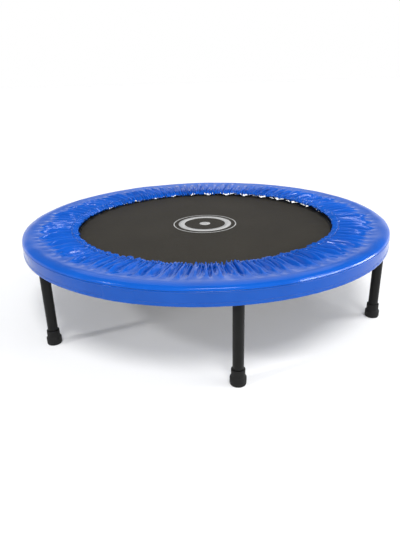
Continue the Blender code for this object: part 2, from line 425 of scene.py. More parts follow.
def paint_material(name, color, roughness):
    """Powder coat: orange-peel bump, small changes of gloss and lighter worn specks."""
    made = Nodes(name, color, roughness)
    worn = tuple(channel * 1.9 for channel in color)
    made.color(made.spread(made.noise(35.0, 6.0), 0.0, 0.8), color, worn)
    made.roughness(made.noise(120.0, 3.0), roughness - 0.07, roughness + 0.08)
    made.set("Specular IOR Level", 0.18)
    made.bump(made.noise(1100.0, 3.0), 0.12, 0.0004)
    return made.material


def zinc_material(name, roughness):
    """Bright zinc plating, slightly cloudy."""
    made = Nodes(name, (0.62, 0.63, 0.65), roughness, 1.0)
    made.cloudy_color(made.noise(90.0, 4.0), (0.48, 0.49, 0.50), (0.72, 0.73, 0.74))
    made.roughness(made.noise(300.0, 3.0), roughness - 0.08, roughness + 0.12)
    made.bump(made.noise(1500.0, 2.0), 0.06, 0.0002)
    return made.material


def rubber_material():
    """Moulded black rubber with a dusty bloom and a fine grain."""
    made = Nodes("foot_rubber", (0.016, 0.016, 0.017), 0.72)
    bloom = made.noise(45.0, 5.0)
    made.cloudy_color(bloom, (0.0045, 0.0045, 0.0045), (0.0120, 0.0120, 0.0118))
    made.roughness(bloom, 0.55, 0.78)
    made.set("Specular IOR Level", 0.22)
    made.bump(made.noise(900.0, 4.0), 0.25, 0.0005)
    return made.material


def foam_material():
    """White closed-cell foam with an open, pitted cut face, painted darker in the pits as painted shade.
    """
    made = Nodes("white_foam", (0.60, 0.60, 0.58), 0.90)
    cells = made.node("ShaderNodeTexVoronoi")
    cells.inputs["Scale"].default_value = 700.0
    made.link(made.place, cells.inputs["Vector"])
    depth = cells.outputs["Distance"]
    # painted shade: the pits are darker
    made.color(depth, (0.45, 0.45, 0.44), (0.62, 0.62, 0.60))
    made.bump(depth, 0.5, 0.0006)
    return made.material


def thread_material(name, color):
    """Twisted sewing thread."""
    made = Nodes(name, color, 0.55)
    strand = made.noise(2500.0, 2.0)
    made.cloudy_color(strand, tuple(channel * 0.55 for channel in color), color)
    made.set("Sheen Weight", 0.2)
    made.bump(strand, 0.4, 0.0002)
    return made.material


def print_material():
    """White screen print on the weave, thin where the tapes dip."""
    made = Nodes("white_print", (0.80, 0.80, 0.78), 0.60)
    height = made.weave(TAPE_PITCH)
    patch = made.spread(made.noise(260.0, 4.0), 0.80, 1.0)
    cover = made.math("MULTIPLY", patch, made.math("ADD", height, 0.65))
    made.color(cover, (0.16, 0.155, 0.150), (0.50, 0.50, 0.49))
    made.bump(height, 0.5, 0.0003)
    return made.material


VINYL_BLUE = vinyl_material("blue_vinyl", 1.0)
# The skirt: the same vinyl darkened to 0.8 as painted shade, for its less lit upright sides.
SKIRT_BLUE_PAINTED_SHADE = vinyl_material("blue_vinyl_skirt_painted_shade", 0.80)
BACKING = backing_material()
MAT_CLOTH = mat_material()
WEBBING = webbing_material()
HOOP_PAINT = paint_material("hoop_paint", (0.0090, 0.0090, 0.0090), 0.42)
LEG_PAINT = paint_material("leg_paint", (0.0038, 0.0038, 0.0036), 0.38)
ZINC = zinc_material("zinc_steel", 0.30)
RING_WIRE = paint_material("ring_wire", (0.0080, 0.0080, 0.0085), 0.35)
RUBBER = rubber_material()
FOAM = foam_material()
BLUE_THREAD = thread_material("blue_thread", (0.004, 0.085, 0.420))
GREY_THREAD = thread_material("grey_thread", (0.020, 0.019, 0.018))
ELASTIC = thread_material("white_elastic", (0.600, 0.600, 0.580))
PRINT = print_material()


# ---------------------------------------------------------------- cover


def pleat_phase(theta):
    """Phase of the pleats at the elastic: PLEATS of them, some wide and some narrow."""
    uneven = 2.6 * random_wave(theta, 3, 40, 11) + 1.5 * random_wave(theta, 41, 110, 12)
    return PLEATS * theta + uneven


def pinched(phase):
    """A wave with round tops and sharp valleys, about -1.3 to 0.7."""
    return 2 * np.abs(np.sin(phase / 2)) - 4 / math.pi


def fold_pattern(theta, inward):
    """Height of the gathers, about -1 to 1. inward is 0 where they start and 1 at the casing.

    Three families share one phase, at a third, two thirds and all of the pleats, so that folds
    split on their way to the elastic.
    """
    phase = pleat_phase(theta)
    broad = np.sin(phase / 3 + 0.9 * random_wave(theta, 4, 40, 13))
    middle = pinched(2 * phase / 3 + 0.9 * random_wave(theta, 6, 50, 14))
    fine = pinched(phase)
    begin = 0.10 + 0.10 * random_wave(theta, 5, 70, 17)
    strong = 1 + 0.45 * random_wave(theta, 8, 60, 18)
    reach = inward - begin
    return strong * (
        0.95 * smoothstep(0.0, 0.45, reach) * (1 - 0.75 * smoothstep(0.40, 0.90, reach)) * broad
        + 0.75 * smoothstep(0.05, 0.50, reach) * (1 - 0.50 * smoothstep(0.60, 0.90, reach)) * middle
        + 0.80 * smoothstep(0.35, 0.88, reach) * fine
    )


def rim_rows():
    """(radius, height) of the smooth rim, from the sewn crease up and in to where the folds start."""
    half_width = COVER_RADIUS - RING_RADIUS
    rise = RIM_TOP - CREASE_HEIGHT
    rows = [
        (COVER_RADIUS - 0.0011, CREASE_HEIGHT - 0.0008),
        (COVER_RADIUS - 0.0004, CREASE_HEIGHT - 0.0005),
    ]
    corner = []
    for index in range(RIM_ROWS):
        angle = index / RIM_ROWS * math.pi / 2
        out, up = half_width * math.cos(angle), rise * math.sin(angle)
        corner.append((RING_RADIUS + out, CREASE_HEIGHT + up))
    for index in (1, 2, 3):  # the stretch that the crease's seam draws flat
        corner[index] = tuple(
            corner[0][axis] + (corner[4][axis] - corner[0][axis]) * index / 4 for axis in (0, 1)
        )
    rows += corner
    rows.append((RING_RADIUS, RIM_TOP))
    rows.append(((RING_RADIUS + FOLD_START) / 2, RIM_TOP - RIM_FALL / 4))
    return rows


def gathered_shape():
    """The top panel before simulation and its cut, as (row, step, xyz), and the rim's row count.

    The cut is a strip as long as the place where the folds start, so the ring of the elastic is
    too short for it by the share that the folds must take up.
    """
    theta = round_angles(ROUND_STEPS)
    dents = RIM_DENTS * random_wave(theta, 4, 40, 21)
    twist = PULL_ASKEW * random_wave(theta, 2, 14, 22)
    shape, cut = [], []
    rims = rim_rows()
    for number, (radius, height) in enumerate(rims):
        sheet = ring_grid(radius, height + dents * smoothstep(1, 7, number), theta)
        shape.append(sheet)
        cut.append(sheet)
    start_height = RIM_TOP - RIM_FALL
    width = FOLD_START - CASING_OUTER
    cut_radius, cut_height = FOLD_START, start_height
    for index in range(FOLD_ROWS):
        inward = index / (FOLD_ROWS - 1)
        radius = FOLD_START - width * inward
        height = start_height + (SEAM_HEIGHT - start_height) * inward
        height = height + FOLD_HEIGHT * fold_pattern(theta, inward) + dents * (1 - inward)
        shape.append(ring_grid(radius, height, theta + twist * inward**1.5))
        longer = FOLD_START + (CUT_RADIUS - FOLD_START) * smoothstep(0.0, 0.75, inward)
        if index > 0:
            spacing = width / (FOLD_ROWS - 1)
            cut_height -= math.sqrt(spacing**2 - (longer - cut_radius) ** 2)
        cut_radius = longer
        cut.append(ring_grid(cut_radius, cut_height, theta))
    return np.stack(shape), np.stack(cut), len(rims)


def settled(shape, cut, held):
    """The sheet after its gathers have found their own shape, by Blender's cloth simulation."""
    obj = mesh_object("gathering", shape, grid_faces(len(shape), ROUND_STEPS), VINYL_BLUE)
    obj.shape_key_add(name="sewn")
    key = obj.shape_key_add(name="cut")
    key.data.foreach_set("co", cut.reshape(-1).astype(np.float32))
    key.value = 0.0
    group = obj.vertex_groups.new(name="hold")
    for row, weight in enumerate(held):
        if weight > 0:
            group.add(list(range(row * ROUND_STEPS, (row + 1) * ROUND_STEPS)), weight, "REPLACE")
    cloth = obj.modifiers.new("cloth", "CLOTH")
    settings = cloth.settings
    settings.rest_shape_key = key
    settings.vertex_group_mass = "hold"
    settings.quality = 4
    settings.mass = 0.02
    settings.tension_stiffness = 40.0
    settings.compression_stiffness = 40.0
    settings.shear_stiffness = 4.0
    settings.bending_stiffness = 0.02
    settings.tension_damping = 8.0
    settings.compression_damping = 8.0
    settings.shear_damping = 2.0
    settings.bending_damping = 0.5
    settings.air_damping = 4.0
    settings.effector_weights.gravity = 0.3
    cloth.collision_settings.use_collision = False
    cloth.collision_settings.use_self_collision = False
    cloth.point_cache.frame_start = 1
    cloth.point_cache.frame_end = SETTLE_FRAMES
    scene = bpy.context.scene
    for number in range(1, SETTLE_FRAMES + 1):
        scene.frame_set(number)
    graph = bpy.context.evaluated_depsgraph_get()
    mesh = obj.evaluated_get(graph).to_mesh()
    found = np.empty(len(mesh.vertices) * 3, np.float32)
    mesh.vertices.foreach_get("co", found)
    obj.evaluated_get(graph).to_mesh_clear()
    bpy.data.objects.remove(obj)
    scene.frame_set(1)
    moved = found.reshape(shape.shape) - shape
    far = np.linalg.norm(moved, axis=-1, keepdims=True)
    return shape + moved * np.minimum(1.0, MOST_MOVE / np.maximum(far, 1e-9))


def hang(theta):
    """How much lower the hole's edge hangs towards the far left."""
    return HANG_LOW * ((1 + np.cos(theta - HANG_AZIMUTH)) / 2) ** 3


def casing_rows(seam):
    """The rolled casing, from the seam's row over the elastic, round the hole's edge and back under.

    It keeps the seam's pleats and adds finer, deeper ruffles, which the drawn-in elastic bunches up.
    """
    theta = np.arctan2(seam[:, 1], seam[:, 0])
    radius_out = np.hypot(seam[:, 0], seam[:, 1])
    even = round_angles(ROUND_STEPS)
    phase = pleat_phase(even)
    wild = 2.4 * random_wave(even, 10, 110, 32)
    ruffle = pinched(phase) + 0.9 * pinched(1.37 * phase + wild)
    small = pinched(1.93 * phase + 0.8 * wild + 1.9)
    cross = np.sin(phase + 2.6 + 0.5 * wild)
    strength = 1 + 0.7 * random_wave(even, 10, 110, 33)
    droop = 0.0014 * random_wave(even, 12, 60, 34)  # how the hole's edge wanders up and down
    reach = 0.0022 * random_wave(even, 15, 120, 35) + 0.0010 * np.sin(phase)  # and in and out
    sag = hang(even)
    pleat_height = seam[:, 2] - SEAM_HEIGHT
    width = CASING_OUTER - HOLE_RADIUS
    half_height = (CASING_TOP - CASING_BOTTOM) / 2
    rows = []
    for index in range(1, CASING_ROWS):
        angle = index / CASING_ROWS * math.tau
        across = (1 - math.cos(angle)) / 2
        up = math.copysign(abs(math.sin(angle)) ** 0.7, math.sin(angle))
        lifted = smoothstep(0.0, 0.2, across)
        groove = CASING_GROOVE * math.exp(-(((across - 0.06) / 0.06) ** 2)) if up > 0 else 0.0
        bunch = ruffle * (1 - 0.4 * across) + 0.7 * cross * across + 0.7 * small
        bunch = RUFFLE * strength * bunch * lifted
        radius = radius_out - width * across - smoothstep(0.25, 1.0, across) * (reach + 0.4 * sag)
        height = SEAM_HEIGHT - 0.0008 * across + (half_height - 0.0004) * up
        height = height - half_height * 0.9 * across
        height = height + pleat_height * (1 - 0.6 * across) + bunch - groove
        height = height + (droop - sag) * across
        rows.append(ring_grid(radius, height, theta))
    return np.stack(rows)


def add_thickness(obj, thickness):
    """A solid sheet, its second material on the inner side; the outer side stays where it is."""
    shell = obj.modifiers.new("thickness", "SOLIDIFY")
    shell.thickness = thickness
    shell.offset = -1.0
    shell.material_offset = 1


def make_cover_top():
    """The top panel: a smooth rim, settled gathers and a rolled casing, with its thread and elastic."""
    shape, cut, rims = gathered_shape()
    held = [1.0, 1.0, 1.0] + [0.0] * (FOLD_ROWS - 2) + [1.0]  # rim, gathers and seam
    shape[rims - 2 :] = settled(shape[rims - 2 :], cut[rims - 2 :], held)
    lowest = SPRING_TOP + 0.0008  # the gathers may rest on the springs but not sink into them
    shape[rims:, :, 2] = np.maximum(shape[rims:, :, 2], lowest)
    casing = casing_rows(shape[-1])
    make_cover_threads(shape[-1])
    make_elastics(casing)
    points = np.concatenate([shape, casing])
    faces = [tuple(reversed(face)) for face in grid_faces(len(points), ROUND_STEPS)]
    obj = mesh_object("cover_top_panel", points, faces, [VINYL_BLUE, BACKING])
    add_thickness(obj, VINYL)
    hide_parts("cover_top")
    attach(obj, "frame")


def make_skirt():
    """The skirt: one band, its ends lapped and sewn, with a hem turned up inside."""
    steps = 1440
    theta = round_angles(steps)
    belly = 0.0005 * random_wave(theta, 3, 26, 41)
    pucker = 0.00025 * random_wave(theta, 60, 140, 42)
    turned_to_seam = np.abs((theta - SEAM_AZIMUTH + math.pi) % math.tau - math.pi)
    overlap = 0.0007 * (1 - smoothstep(SEAM_HALF, SEAM_HALF + 0.004, turned_to_seam))
    outer = []
    for index in range(SKIRT_ROWS + 1):
        share = index / SKIRT_ROWS
        height = SEW_LINE + (SKIRT_BOTTOM - SEW_LINE) * share
        tuck = 0.0005 * (1 - smoothstep(0.0, 0.04, share))
        hem = 0.0004 * smoothstep(HEM_STITCH - 0.02, HEM_STITCH + 0.02, share)
        sunk = STITCH_SINK * math.exp(-(((share - HEM_STITCH) / 0.02) ** 2))
        loose = math.sin(math.pi * min(1.0, share * 1.15)) if share < 0.87 else 0.6
        radius = COVER_RADIUS - tuck + hem - sunk + belly * loose + pucker * smoothstep(0.6, 1.0, share)
        radius = radius + overlap * smoothstep(0.02, 0.12, share)
        outer.append(ring_grid(radius, height, theta))
    for index in range(HEM_ROWS + 1):
        share = index / HEM_ROWS
        turned_in = HEM_INSIDE * min(1.0, share * 4)
        radius = COVER_RADIUS + 0.0003 - turned_in + pucker + overlap
        height = SKIRT_BOTTOM - 0.0003 + HEM_RISE * max(0.0, share - 0.15)
        outer.append(ring_grid(radius, height, theta))
    faces = grid_faces(len(outer), steps)
    # the skirt's vinyl is darkened as painted shade
    obj = mesh_object("cover_skirt_band", outer, faces, [SKIRT_BLUE_PAINTED_SHADE, BACKING])
    add_thickness(obj, VINYL)
    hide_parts("cover_skirt")
    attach(obj, "frame")


def stitch_rows(name, rows, pitch, length, thick, material, body):
    """Rows of thread round a circle; rows holds pairs of functions, radius and height by angle."""
    sides, rings = 6, 4
    bead = []
    for ring in range(rings):
        share = ring / (rings - 1)
        swell = thick * (0.45 + 0.55 * math.sin(math.pi * (0.12 + 0.76 * share)))
        for side in range(sides):
            angle = side / sides * math.tau
            bead.append((swell * math.cos(angle), (share - 0.5) * length, swell * math.sin(angle)))
    bead = np.array(bead)
    faces = grid_faces(rings, sides) + cap_faces(rings, sides)
    parts = []
    for radius, height in rows:
        count = int(round(math.tau * radius(0.0) / pitch))
        for index in range(count):
            angle = index / count * math.tau
            moved = bead + np.array((radius(angle), 0.0, height(angle)))
            parts.append((turned_about_z(moved, angle), faces))
    points, all_faces = joined(parts)
    obj = mesh_object(name, points, all_faces, material)
    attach(obj, body)


def make_cover_threads(seam):
    """Thread along the crease and the skirt's hem, and along the casing's pleated seam."""
    around = np.arctan2(seam[:, 1], seam[:, 0]) % math.tau
    order = np.argsort(around)

    def seam_height(angle):
        return float(np.interp(angle, around[order], seam[order, 2], period=math.tau)) - 0.0001

    below_crease = (lambda angle: COVER_RADIUS - 0.0001, lambda angle: SEW_LINE - 0.0030)
    over_hem = (lambda angle: COVER_RADIUS + 0.0001, lambda angle: SKIRT_BOTTOM + 0.0074)
    at_casing = (lambda angle: CASING_OUTER - 0.0008, seam_height)
    stitch_rows("skirt_threads", [below_crease, over_hem], 0.0042, 0.0030, 0.00035, BLUE_THREAD, "frame")
    stitch_rows("casing_threads", [at_casing], 0.0034, 0.0024, 0.00035, BLUE_THREAD, "frame")


def make_elastics(casing):
    """Flat elastic inside the casing, and a thin one inside the skirt's hem."""
    sheets = []
    for row, up in ((7, 0.0004), (5, 0.0004), (5, -0.0004), (7, -0.0004)):
        below = CASING_ROWS - 2 - row  # the row of the casing's lower side under this one
        middle = (casing[row] + casing[below]) / 2
        sheets.append(middle + np.array((0.0, 0.0, up)))
    casing_band = mesh_object("casing_elastic", sheets, grid_faces(4, ROUND_STEPS, True), ELASTIC)
    casing_band.data.set_sharp_from_angle(angle=math.radians(50))
    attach(casing_band, "frame")
    low = SKIRT_BOTTOM + 0.0020
    outer = COVER_RADIUS - 0.0012
    inner, high = outer - 0.0010, low + 0.0040
    cord = [(inner, high), (outer, high), (outer, low), (inner, low)]
    hem_band = turned("skirt_elastic", cord, 360, ELASTIC)
    hem_band.data.set_sharp_from_angle(angle=math.radians(50))
    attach(hem_band, "frame")


# ---------------------------------------------------------------- springs, rings and mat


def spring_angle(number):
    """Springs count from 1 and stand half a step to either side of a leg."""
    return FIRST_ANGLE + (number - 0.5) * math.tau / SPRING_COUNT


def make_spring(number):
    """A close-wound coil along X with a hook at each end, then turned to its place."""
    low, high = SPRING_INNER_END, SPRING_OUTER_END
    turns = (high - low) / (2 * SPRING_WIRE * 1.04)  # the turns nearly touch
    per_turn = 12
    count = int(round(turns * per_turn))
    mean = SPRING_RADIUS - SPRING_WIRE
    inner_hook = (
        (0.0140, -0.0058),
        (0.0162, -0.0042),
        (0.0166, -0.0018),
        (0.0150, -0.0002),
        (0.0120, 0.0),
        (0.0085, 0.0),
    )
    outer_hook = ((0.0090, 0.0), (0.0130, 0.0), (0.0175, 0.0), (0.0198, -0.0012), (0.0208, -0.0040))
    path = [(low - out, 0.0, height) for out, height in inner_hook]
    rise_steps = 4
    for index in range(1, rise_steps):
        share = index / rise_steps
        path.append((low - 0.0085 + HOOK_LENGTH * share, 0.0, mean * share**1.5))
    for index in range(count + 1):
        angle = index / per_turn * math.tau
        along = low + (high - low) * index / count
        path.append((along, mean * math.sin(angle), mean * math.cos(angle)))
    end = path[-1]
    for index in range(1, rise_steps):
        share = index / rise_steps
        fall = (1 - share) ** 1.5
        path.append((high + HOOK_LENGTH * share, end[1] * fall, end[2] * fall))
    path += [(high + out, 0.0, height) for out, height in outer_hook]
    points, faces = tube_along(path, SPRING_WIRE, 6)
    points[:, 2] += MAT_MIDDLE
    points = turned_about_z(points, spring_angle(number))
    obj = mesh_object(f"coil_spring_{number:02d}", points, faces, ZINC)
    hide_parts(f"spring_{number:02d}")
    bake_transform(obj)


def rounded_loop(corners, radius, steps=5):
    """A closed path through corners in a plane, each corner rounded."""
    corners = [Vector(corner) for corner in corners]
    path = []
    for index, corner in enumerate(corners):
        before = (corners[index - 1] - corner).normalized()
        after = (corners[(index + 1) % len(corners)] - corner).normalized()
        start, end = corner + before * radius, corner + after * radius
        for step in range(steps + 1):
            t = step / steps
            path.append(start * (1 - t) ** 2 + corner * 2 * t * (1 - t) + end * t**2)
        far_start = corners[(index + 1) % len(corners)] - after * radius
        for step in range(1, 3):
            path.append(end + (far_start - end) * step / 3)
    return np.array([tuple(point) for point in path])


def make_mat_rings():
    """Triangular wire rings: the wide side lies in the hem, the point holds a spring's hook."""
    tip = SPRING_INNER_END - 0.0108
    base = MAT_RADIUS - 0.0060
    half = RING_BASE / 2
    loop = rounded_loop([(base, -half, 0.0), (base, half, 0.0), (tip, 0.0, 0.0)], 0.0045)
    wire, faces = tube_along(loop, RING_WIRE_RADIUS, 8, closed=True)
    inward = (tip - wire[:, 0]) / (tip - base)
    wire[:, 2] += MAT_MIDDLE - 0.0024 + 0.0034 * (1 - inward)
    parts = []
    for number in range(1, SPRING_COUNT + 1):
        parts.append((turned_about_z(wire, spring_angle(number)), faces))
    points, all_faces = joined(parts)
    obj = mesh_object("mat_wire_rings", points, all_faces, RING_WIRE)
    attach(obj, "mat")


def edge_wave(theta):
    """Round the mat's edge: 0 at each ring and -2 halfway between two."""
    return np.cos(SPRING_COUNT * (theta - spring_angle(1))) - 1


def edge_drop(theta, radius):
    """How much lower the mat lies between the rings, as a negative height."""
    return RING_LIFT * edge_wave(theta) / 2 * smoothstep(PULL_START, MAT_RADIUS, radius) ** 3


def make_mat():
    """The jumping mat: a taut sheet, its edge pulled into shallow scallops by the rings."""
    steps = 720
    theta = round_angles(steps)
    rows = [0.001] + [MAT_RADIUS * share for share in (0.1, 0.2, 0.3, 0.4, 0.5, 0.6, 0.7, 0.78, 0.84)]
    rows += [MAT_RADIUS * share for share in (0.88, 0.91, 0.935, 0.955, 0.97, 0.985, 1.0)]
    sheets = []
    for radius in rows:
        scallop = SCALLOP * edge_wave(theta) * smoothstep(PULL_START, MAT_RADIUS, radius) ** 3
        height = MAT_TOP - MAT_SAG * (1 - (radius / MAT_RADIUS) ** 2) + edge_drop(theta, radius)
        sheets.append(ring_grid(radius + scallop, height, theta))
    faces = grid_faces(len(rows), steps)
    faces.append(tuple(reversed(range(steps))))
    obj = mesh_object("jumping_mat", sheets, faces, MAT_CLOTH)
    add_thickness(obj, MAT_THICKNESS)
    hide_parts("mat")
    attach(obj, "mat")


def make_hem():
    """Webbing folded over the mat's edge: a band above and below, closed round the outside."""
    steps = 720
    theta = round_angles(steps)
    inner = MAT_RADIUS - HEM_WIDTH
    profile = [
        (inner, MAT_TOP + 0.0001),
        (inner + 0.0006, MAT_TOP + 0.0008),
        (inner + 0.0030, MAT_TOP + 0.0006),
        (MAT_RADIUS - 0.0120, MAT_TOP + 0.0010),
        (MAT_RADIUS - 0.0020, MAT_TOP + 0.0009),
        (MAT_RADIUS + 0.0006, MAT_TOP - 0.0003),
        (MAT_RADIUS + 0.0008, MAT_TOP - 0.0025),
        (MAT_RADIUS, MAT_TOP - 0.0050),
        (MAT_RADIUS - 0.0030, MAT_TOP - 0.0058),
        (MAT_RADIUS - 0.0120, MAT_TOP - 0.0056),
        (MAT_RADIUS - 0.0160, MAT_TOP - 0.0032),
        (inner + 0.0006, MAT_TOP - 0.0026),
        (inner, MAT_TOP - 0.0016),
    ]
    sheets = []
    for radius, height in profile:
        scallop = SCALLOP * edge_wave(theta) * smoothstep(inner, MAT_RADIUS, radius)
        sheets.append(ring_grid(radius + scallop, height + edge_drop(theta, radius), theta))
    obj = mesh_object("mat_webbing_hem", sheets, grid_faces(len(profile), steps, True), WEBBING)
    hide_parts("mat_hem")
    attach(obj, "mat")


def flat_ring(inner, outer, height):
    """Points and faces of a thin printed ring, or of a disc where inner is 0."""
    steps = 180
    inner = max(inner, 0.0005)
    low = height - PRINT_THICKNESS
    theta = round_angles(steps)
    corners = ((inner, height), (outer, height), (outer, low), (inner, low))
    points = np.concatenate([ring_grid(radius, place, theta) for radius, place in corners])
    return points, grid_faces(len(corners), steps, True)


def make_mat_threads():
    """Two rows of thread through the webbing."""

    def row(radius, share, lift):
        return (
            lambda angle: radius + share * SCALLOP * edge_wave(angle),
            lambda angle: MAT_TOP + lift + edge_drop(angle, radius),
        )

    inner = row(MAT_RADIUS - HEM_WIDTH + 0.0035, 0.0, 0.0007)
    outer = row(MAT_RADIUS - 0.0100, 0.7, 0.0010)
    stitch_rows("mat_threads", [inner, outer], 0.0040, 0.0029, 0.00040, GREY_THREAD, "mat")


def make_print():
    """A plain centre target in white ink: two rings and a dot."""
    top = MAT_TOP - MAT_SAG + 0.0003
    parts = [
        flat_ring(0.0900, 0.0930, top),
        flat_ring(0.0600, 0.0780, top),
        flat_ring(0.0, 0.0160, top),
    ]
    points, faces = joined(parts)
    obj = mesh_object("mat_centre_print", points, faces, PRINT)
    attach(obj, "mat")


# ---------------------------------------------------------------- hoop, studs, legs and feet


def make_hoop():
    """The steel hoop, with its punched hook holes."""
    steps, sides = 216, 24
    parts = []
    for radius, flip in ((TUBE_RADIUS, False), (TUBE_RADIUS - HOOP_WALL, True)):
        sheets = []
        for side in range(sides):
            angle = -side / sides * math.tau
            out, up = radius * math.cos(angle), radius * math.sin(angle)
            sheets.append(ring_grid(RING_RADIUS + out, RING_HEIGHT + up, round_angles(steps)))
        faces = grid_faces(sides, steps, True)
        if flip:
            faces = [tuple(reversed(face)) for face in faces]
        parts.append((np.concatenate(sheets), faces))
    points, faces = joined(parts)
    obj = mesh_object("hoop_tube", points, faces, HOOP_PAINT)
    angles = round_angles(HOOK_HOLE_CORNERS)
    ring = np.stack([0 * angles, 0.0028 * np.cos(angles), 0.0034 * np.sin(angles)], axis=1)
    near = ring + np.array((RING_RADIUS - TUBE_RADIUS - 0.004, 0.0, MAT_MIDDLE))
    far = ring + np.array((RING_RADIUS - TUBE_RADIUS + 0.006, 0.0, MAT_MIDDLE))
    both = np.concatenate([near, far])
    faces = grid_faces(2, HOOK_HOLE_CORNERS) + cap_faces(2, HOOK_HOLE_CORNERS)
    cutters = []
    for number in range(1, SPRING_COUNT + 1):
        cutters.append((turned_about_z(both, spring_angle(number)), faces))
    points, faces = joined(cutters)
    punch = mesh_object("hook_punches", points, faces, HOOP_PAINT)
    cut = obj.modifiers.new("holes", "BOOLEAN")
    cut.operation = "DIFFERENCE"
    cut.solver = "EXACT"
    cut.object = punch
    graph = bpy.context.evaluated_depsgraph_get()
    mesh = bpy.data.meshes.new_from_object(obj.evaluated_get(graph), depsgraph=graph)
    obj.modifiers.clear()
    obj.data = mesh
    bpy.data.objects.remove(punch)
    mesh.shade_smooth()
    mesh.set_sharp_from_angle(angle=math.radians(40))
    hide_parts("frame_ring")
    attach(obj, "frame")


def leg_place(number):
    """X and y of a leg's axis."""
    angle = FIRST_ANGLE + (number - 1) * math.tau / LEG_COUNT
    return RING_RADIUS * math.cos(angle), RING_RADIUS * math.sin(angle)


def make_stud(number):
    """A saddle flange and a threaded stud, with a real helical thread."""
    steps = 28
    theta = round_angles(steps)
    top, bottom = stud_high.z, stud_low.z
    flange = (stud_high.x - stud_low.x) / 2
    flange_bottom = top - 0.0030
    profile = [
        (flange - 0.0010, top),
        (flange, top - 0.0006),
        (flange, flange_bottom + 0.0006),
        (flange - 0.0008, flange_bottom),
        (0.0046, flange_bottom),
    ]
    sheets = [ring_grid(radius, height, theta) for radius, height in profile]
    rows = int((flange_bottom - 0.0010 - bottom) / (THREAD_PITCH / ROWS_PER_PITCH))
    for row in range(rows):
        height = flange_bottom - 0.0010 - row * THREAD_PITCH / ROWS_PER_PITCH
        turn = (height / THREAD_PITCH - theta / math.tau) % 1.0
        ridge = 1 - np.abs(2 * turn - 1)
        fade = min(1.0, (rows - 1 - row) / 4)
        sheets.append(ring_grid(THREAD_ROOT + THREAD_DEPTH * ridge * fade, height, theta))
    sheets.append(ring_grid(THREAD_ROOT - 0.0010, bottom, theta))
    points = np.concatenate(sheets)
    faces = grid_faces(len(sheets), steps) + cap_faces(len(sheets), steps)
    x, y = leg_place(number)
    points[:, 0] += x
    points[:, 1] += y
    obj = mesh_object(f"threaded_stud_{number}", points, faces, ZINC)
    obj.data.set_sharp_from_angle(angle=math.radians(50))
    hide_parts(f"leg_stud_{number}")
    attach(obj, "frame")


def make_leg(number):
    """A straight painted tube with a rounded top and its bored plug."""
    top, bottom = leg_high.z, leg_low.z
    plug_bottom = top - PLUG_LENGTH
    inside = TUBE_RADIUS - LEG_WALL
    profile = [
        (LEG_BORE + 0.0006, top - 0.0004),
        (TUBE_RADIUS - 0.0024, top - 0.0004),
        (TUBE_RADIUS - 0.0012, top),
        (TUBE_RADIUS - 0.0004, top - 0.0003),
        (TUBE_RADIUS, top - 0.0012),
        (TUBE_RADIUS, top - 0.0600),
        (TUBE_RADIUS, bottom + 0.0500),
        (TUBE_RADIUS, bottom),
        (inside, bottom),
        (inside, plug_bottom),
        (LEG_BORE, plug_bottom),
        (LEG_BORE, top - 0.0010),
    ]
    obj = turned(f"leg_tube_{number}", profile, 40, LEG_PAINT, leg_place(number))
    obj.data.set_sharp_from_angle(angle=math.radians(50))
    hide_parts(f"leg_{number}")
    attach(obj, f"leg_{number}")


def make_foot(number):
    """A moulded rubber foot: a rounded base, a stepped sleeve with a lip, and a socket."""
    base = (foot_high.x - foot_low.x) / 2
    top = foot_high.z
    bore = TUBE_RADIUS + 0.0003
    profile = [
        (bore, top - 0.0005),
        (bore + 0.0006, top),
        (SLEEVE_RADIUS - 0.0009, top),
        (SLEEVE_RADIUS - 0.0001, top - 0.0008),
        (SLEEVE_RADIUS, top - 0.0022),
        (SLEEVE_RADIUS, 0.0225),
        (SLEEVE_RADIUS + 0.0005, 0.0205),
        (SLEEVE_RADIUS + 0.0016, 0.0195),
        (base - 0.0012, 0.0190),
        (base - 0.0002, 0.0180),
        (base, 0.0165),
        (base, 0.0050),
        (base - 0.0003, 0.0022),
        (base - 0.0010, 0.0007),
        (base - 0.0022, 0.0),
        (0.0006, 0.0),
        (0.0006, SOCKET_BOTTOM),
        (bore, SOCKET_BOTTOM),
    ]
    obj = turned(f"rubber_foot_{number}", profile, 48, RUBBER, leg_place(number))
    obj.data.set_sharp_from_angle(angle=math.radians(60))
    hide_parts(f"foot_{number}")
    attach(obj, f"leg_{number}")


def make_foam():
    """The foam strip over the hoop, under the cover."""
    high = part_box("foam_pad")[1]
    steps = 360
    theta = round_angles(steps)
    lumps = 0.0003 * random_wave(theta, 20, 90, 51)
    clear = TUBE_RADIUS + 0.0010
    under = RIM_TOP - 0.0022
    inner = FOAM_INNER
    outer = high.x
    profile = [
        (inner, under - 0.0040),
        (inner + 0.0015, under - 0.0022),
        (RING_RADIUS - 0.0080, under - 0.0006),
        (RING_RADIUS, under - 0.0003),
        (RING_RADIUS + 0.0090, under - 0.0022),
        (outer - 0.0030, CREASE_HEIGHT + 0.0005),
        (outer, CREASE_HEIGHT - 0.0040),
        (outer, RING_HEIGHT),
    ]
    for index in range(7):
        angle = index / 6 * math.pi / 2
        profile.append((RING_RADIUS + clear * math.cos(angle), RING_HEIGHT + clear * math.sin(angle)))
    profile.append((inner, RING_HEIGHT + clear - 0.0010))
    sheets = [ring_grid(radius + lumps, height, theta) for radius, height in profile]
    obj = mesh_object("rim_foam", sheets, grid_faces(len(profile), steps, True), FOAM)
    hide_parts("foam_pad")
    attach(obj, "frame")


# ---------------------------------------------------------------- floor, light and camera


